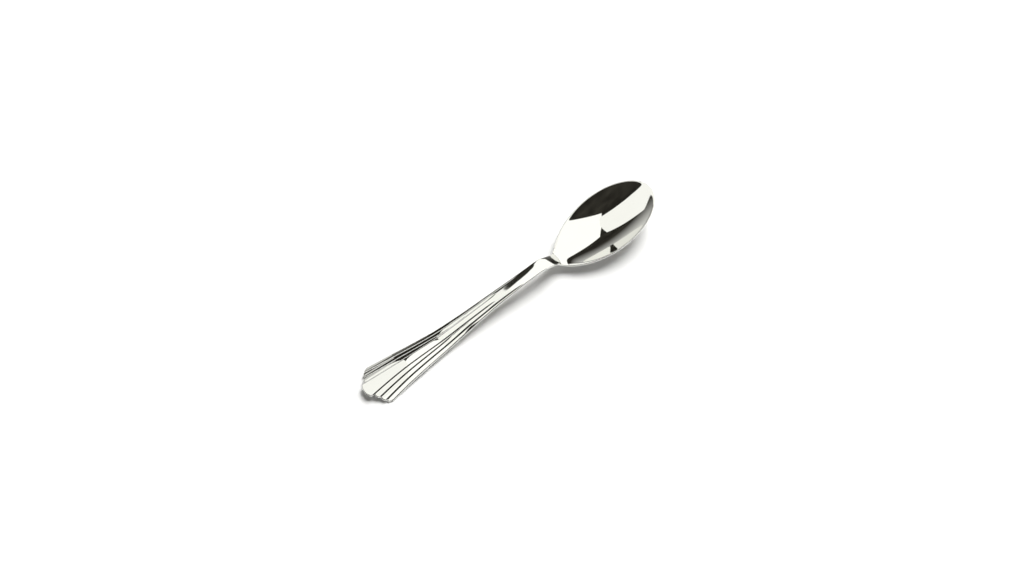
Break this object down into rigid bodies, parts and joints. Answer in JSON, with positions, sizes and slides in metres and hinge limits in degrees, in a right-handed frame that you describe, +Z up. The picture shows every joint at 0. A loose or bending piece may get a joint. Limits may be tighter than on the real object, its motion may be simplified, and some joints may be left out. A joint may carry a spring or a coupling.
{
  "type": "teaspoon",
  "caption": "Bright silver teaspoon with an egg-shaped bowl, an arched neck and a fluted handle that fans out to a scalloped point, for stirring and eating.",
  "frame": {"origin": "middle of the footprint on the table, halfway between the handle's point and the bowl's tip", "axes": "+X from the handle's point to the bowl's tip, +Z up from the table into the bowl's open side, Y across"},
  "size_m": [0.155, 0.0284, 0.0141],
  "materials": {
    "bright_silver": "mirror polished"
  },
  "bodies": {
    "root": {"bowl": "bright_silver", "neck": "bright_silver", "handle": "bright_silver"}
  },
  "joints": []
}
